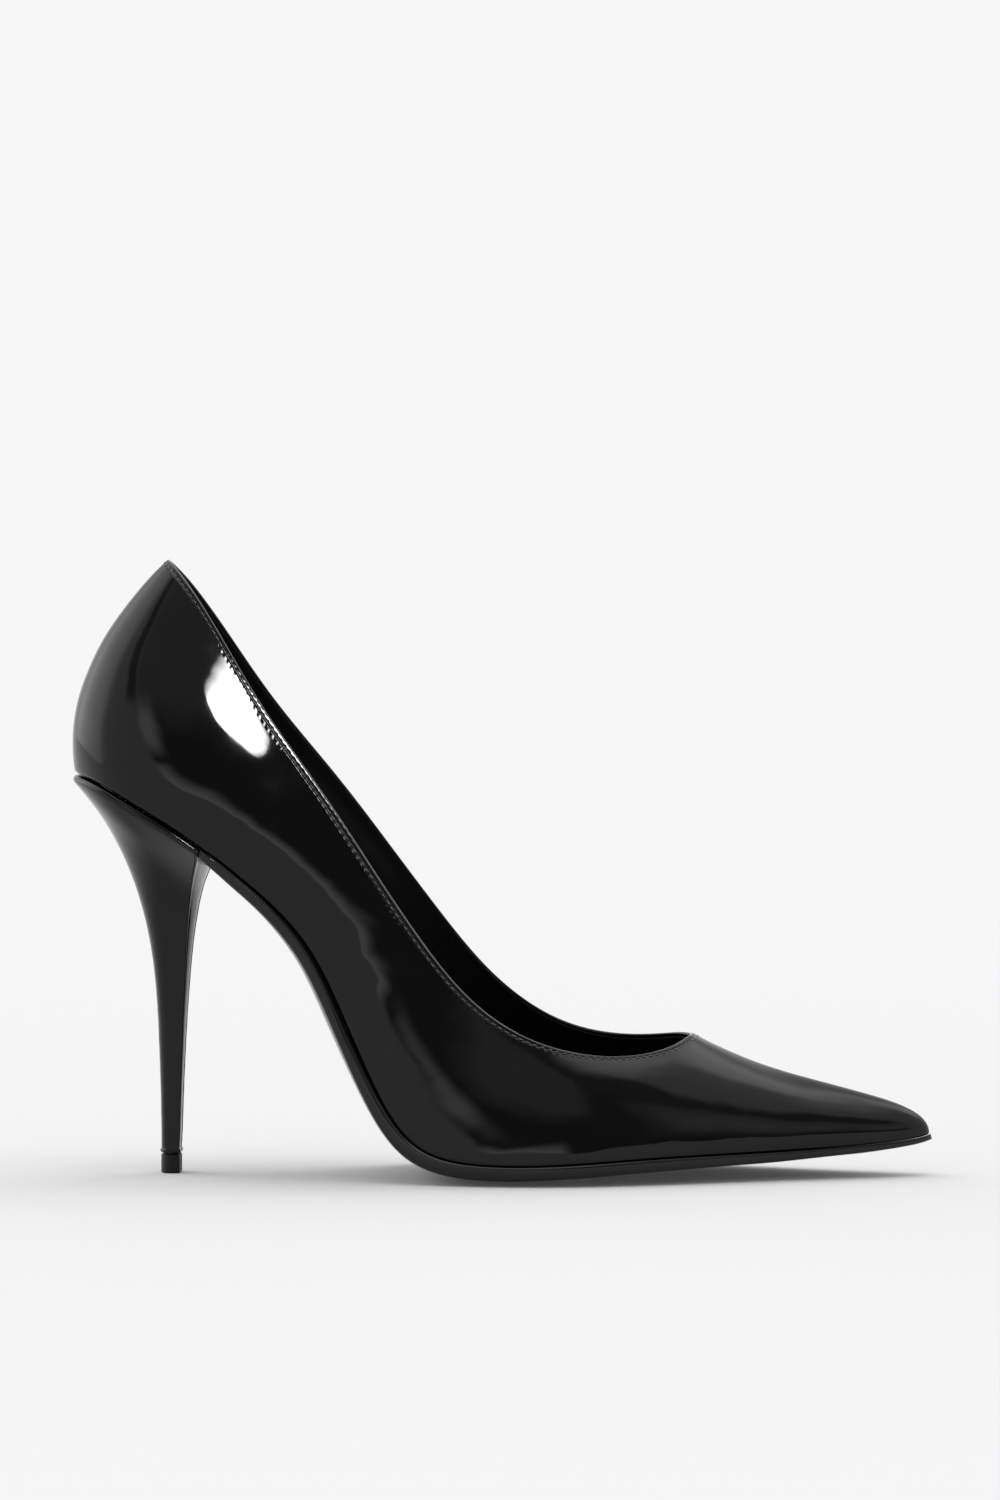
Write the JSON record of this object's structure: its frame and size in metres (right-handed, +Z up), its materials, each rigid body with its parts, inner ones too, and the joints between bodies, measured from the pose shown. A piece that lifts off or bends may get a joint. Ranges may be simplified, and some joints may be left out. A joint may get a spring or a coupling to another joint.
{
  "type": "high heel pump",
  "caption": "Pointed-toe patent leather court shoe for the right foot with a low-cut topline and a slim, tall covered stiletto heel.",
  "frame": {"origin": "centre of the bounding box's bottom face, on the floor the shoe stands on", "axes": "+X towards the toe tip, +Y towards the inner (medial) side of this right shoe, +Z up"},
  "size_m": [0.2358, 0.0768, 0.1688],
  "materials": {
    "patent_leather": "black patent leather, mirror gloss with a fine pucker along the topline",
    "patent_leather_heel": "black patent leather, thin, wrapped round the heel, high gloss",
    "lining_leather": "black leather lining, matte, fine grain",
    "suede": "black suede, napped",
    "stiffener_sheet": "thermoplastic stiffener sheet, matte",
    "insole_board": "pressed cellulose fibre board, matte",
    "sock_foam": "soft foam under the sock, matte",
    "filler_felt": "needled felt filler, matte",
    "sole_rubber": "black resin rubber sole, satin edge",
    "heel_plastic": "injection moulded ABS, dark grey",
    "top_piece_plastic": "black polyurethane, matte",
    "spring_steel": "bright spring steel",
    "zinc_steel": "zinc plated steel"
  },
  "bodies": {
    "root": {"upper": "patent_leather", "toe_puff": "stiffener_sheet", "heel_counter": "stiffener_sheet", "quarter_lining": "lining_leather", "vamp_lining": "lining_leather", "heel_grip": "suede", "insole_board": "insole_board", "shank": "spring_steel", "shank_rivet_1": "spring_steel", "shank_rivet_2": "spring_steel", "forepart_filler": "filler_felt", "outsole": "sole_rubber", "sock_foam": "sock_foam", "sock_liner": "lining_leather", "heel_block": "heel_plastic", "heel_cover": "patent_leather_heel", "heel_dowel": "spring_steel", "top_piece": "top_piece_plastic", "top_piece_pin": "spring_steel", "heel_screw": "zinc_steel", "heel_nail_1": "zinc_steel", "heel_nail_2": "zinc_steel", "heel_nail_3": "zinc_steel", "heel_nail_4": "zinc_steel"}
  },
  "joints": []
}
